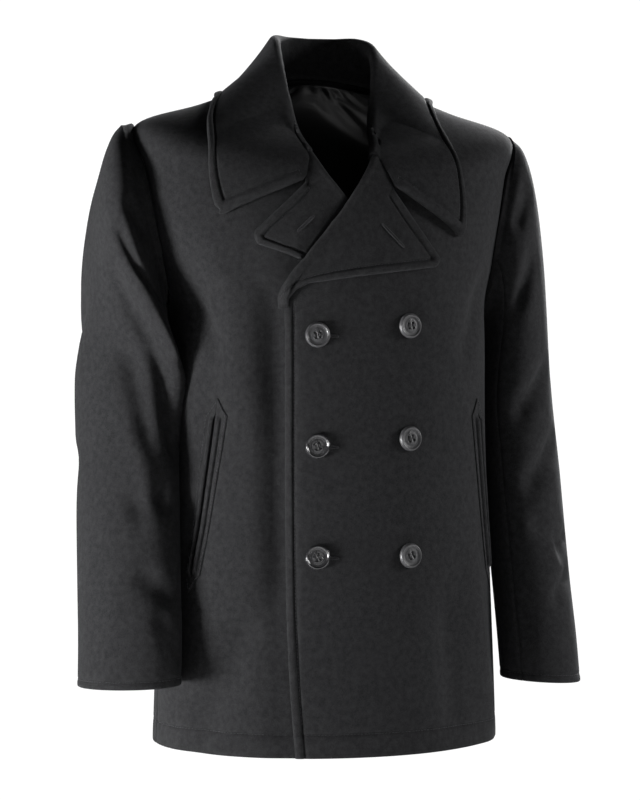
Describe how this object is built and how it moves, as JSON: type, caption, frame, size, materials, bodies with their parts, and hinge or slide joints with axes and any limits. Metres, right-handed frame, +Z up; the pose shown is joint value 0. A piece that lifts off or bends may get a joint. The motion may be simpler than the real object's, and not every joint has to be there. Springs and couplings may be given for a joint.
{
  "type": "pea coat",
  "caption": "Double-breasted pea coat in black melton wool with notched collar, turned lapels, slash pockets and four-hole buttons, filled out and hollow",
  "frame": {"origin": "the middle of the neck base, level with the high points of the shoulders, where the wearer holds the coat", "axes": "+X to the wearer's left, -Y to the front, +Z up"},
  "size_m": [0.5993, 0.3098, 0.829],
  "materials": {
    "melton": "black felted melton wool with a short nap",
    "lining": "black satin lining",
    "button": "black moulded plastic with a satin gloss",
    "thread": "black sewing thread"
  },
  "bodies": {
    "root": {"front_left": "melton", "front_right": "melton", "back_left": "melton", "back_right": "melton", "top_sleeve_left": "melton", "top_sleeve_right": "melton", "under_sleeve_left": "melton", "under_sleeve_right": "melton", "collar": "melton", "lapel_left": "melton", "lapel_right": "melton", "pocket_welt_left_front": "melton", "pocket_welt_left_back": "melton", "pocket_welt_right_front": "melton", "pocket_welt_right_back": "melton", "back_lining": "lining", "button_1_left": "button", "button_2_left": "button", "button_3_left": "button", "button_1_right": "button", "button_2_right": "button", "button_3_right": "button"}
  },
  "joints": []
}
